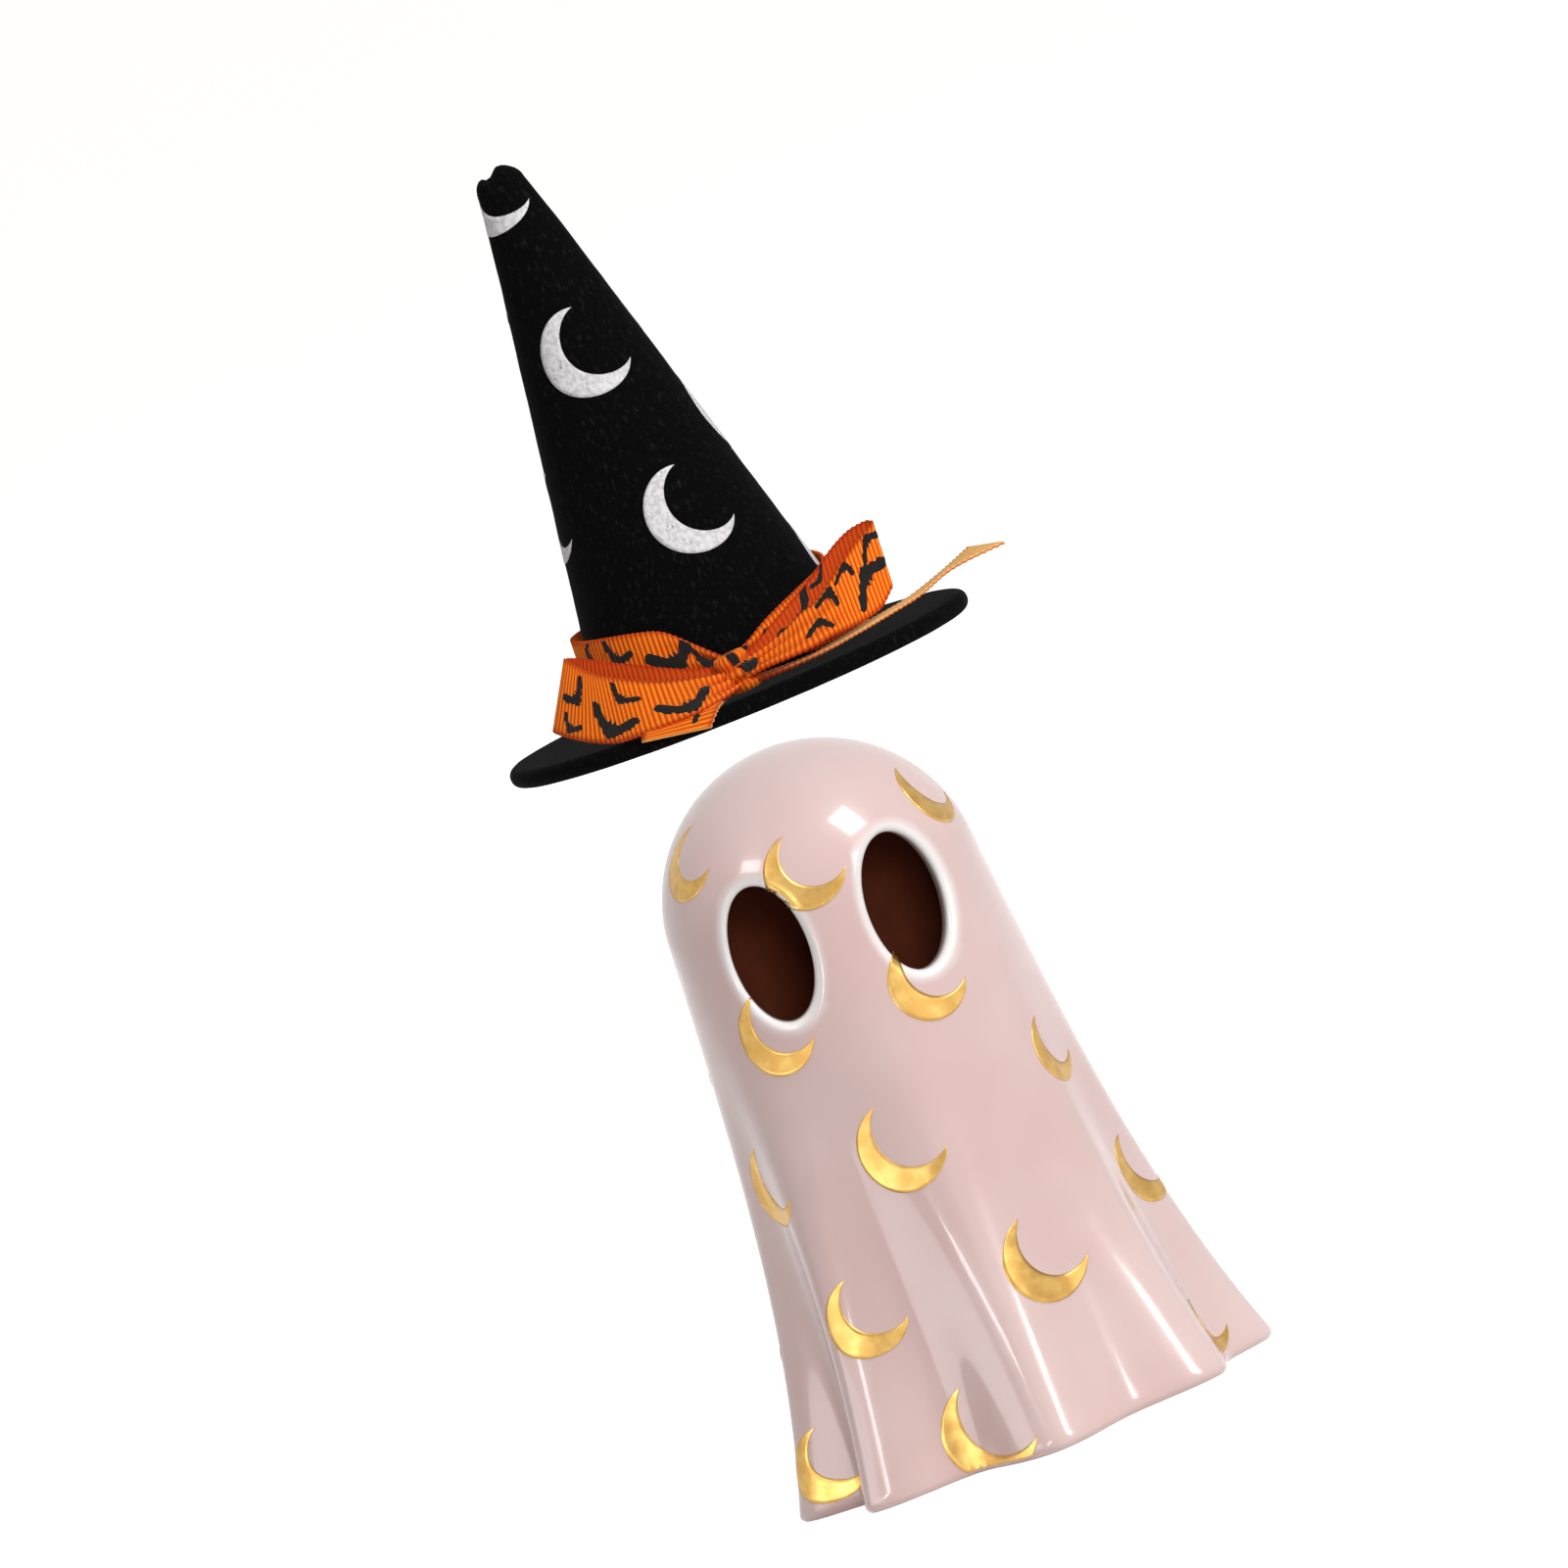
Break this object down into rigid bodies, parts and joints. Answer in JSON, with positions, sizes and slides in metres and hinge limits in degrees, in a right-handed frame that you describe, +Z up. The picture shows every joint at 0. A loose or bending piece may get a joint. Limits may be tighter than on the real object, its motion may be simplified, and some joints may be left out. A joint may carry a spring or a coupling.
{
  "type": "ceramic ghost figure",
  "caption": "Hollow glazed ceramic ghost figure with a domed head, eye holes and a folded skirt, and a lift-off felt witch hat with a ribbon bow.",
  "frame": {"origin": "centre of the ghost's foot, on the surface that it stands on", "axes": "+Z up along the ghost's axis, -Y towards the viewer of its face, +X to that viewer's right"},
  "size_m": [0.0733, 0.0675, 0.1776],
  "materials": {
    "glaze": "pale pink gloss glaze with gold crescents",
    "felt": "black felt with printed silver crescents",
    "ribbon": "orange grosgrain with printed black bats"
  },
  "bodies": {
    "ghost": {"ghost_shell": "glaze"},
    "hat": {"hat_cone": "felt", "hat_brim": "felt", "ribbon_band": "ribbon", "bow_knot": "ribbon", "bow_loop_left": "ribbon", "bow_loop_right": "ribbon", "bow_tail_left": "ribbon", "bow_tail_right": "ribbon"}
  },
  "joints": [
    {"name": "hat_lift", "type": "slide", "parent": "ghost", "child": "hat", "axis": [0, 0, 1], "range_m": [-0.015, 0.03]}
  ]
}
